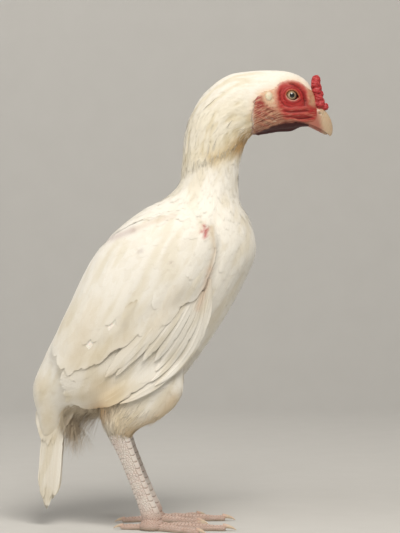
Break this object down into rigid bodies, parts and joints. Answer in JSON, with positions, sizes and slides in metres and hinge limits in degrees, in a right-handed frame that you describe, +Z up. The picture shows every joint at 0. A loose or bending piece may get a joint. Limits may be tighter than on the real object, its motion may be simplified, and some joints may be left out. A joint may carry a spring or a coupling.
{
  "type": "heera aseel hen",
  "caption": "Still, life-size model of a standing white game hen with folded wings, hanging tail, bare red face, small pea comb and strong bare legs.",
  "frame": {"origin": "centre of the bounding box at floor level, under the standing bird", "axes": "+X the way the bird faces, +Y its left side, +Z up"},
  "size_m": [0.316, 0.158, 0.48],
  "materials": {
    "plumage": "soft warm white feathers",
    "face_skin": "bare folded red skin under white feathers",
    "comb_skin": "red beaded flesh",
    "lobe_skin": "smooth creamy white skin",
    "bill_horn": "pale satin horn",
    "eye": "wet gloss, pearl iris and black pupil",
    "leg_scales": "pale pinkish scales",
    "claw_horn": "pale satin horn"
  },
  "bodies": {
    "root": {"torso": "plumage", "neck": "plumage", "wing_left": "plumage", "wing_right": "plumage", "tail": "plumage", "thigh_left": "plumage", "thigh_right": "plumage", "head": "face_skin", "comb": "comb_skin", "lobe_left": "lobe_skin", "lobe_right": "lobe_skin", "bill_upper": "bill_horn", "bill_lower": "bill_horn", "eye_left": "eye", "eye_right": "eye", "shank_left": "leg_scales", "shank_right": "leg_scales", "toe_inner_left": "leg_scales", "toe_inner_right": "leg_scales", "toe_middle_left": "leg_scales", "toe_middle_right": "leg_scales", "toe_outer_left": "leg_scales", "toe_outer_right": "leg_scales", "toe_hind_left": "leg_scales", "toe_hind_right": "leg_scales", "claw_inner_left": "claw_horn", "claw_inner_right": "claw_horn", "claw_middle_left": "claw_horn", "claw_middle_right": "claw_horn", "claw_outer_left": "claw_horn", "claw_outer_right": "claw_horn", "claw_hind_left": "claw_horn", "claw_hind_right": "claw_horn"}
  },
  "joints": []
}
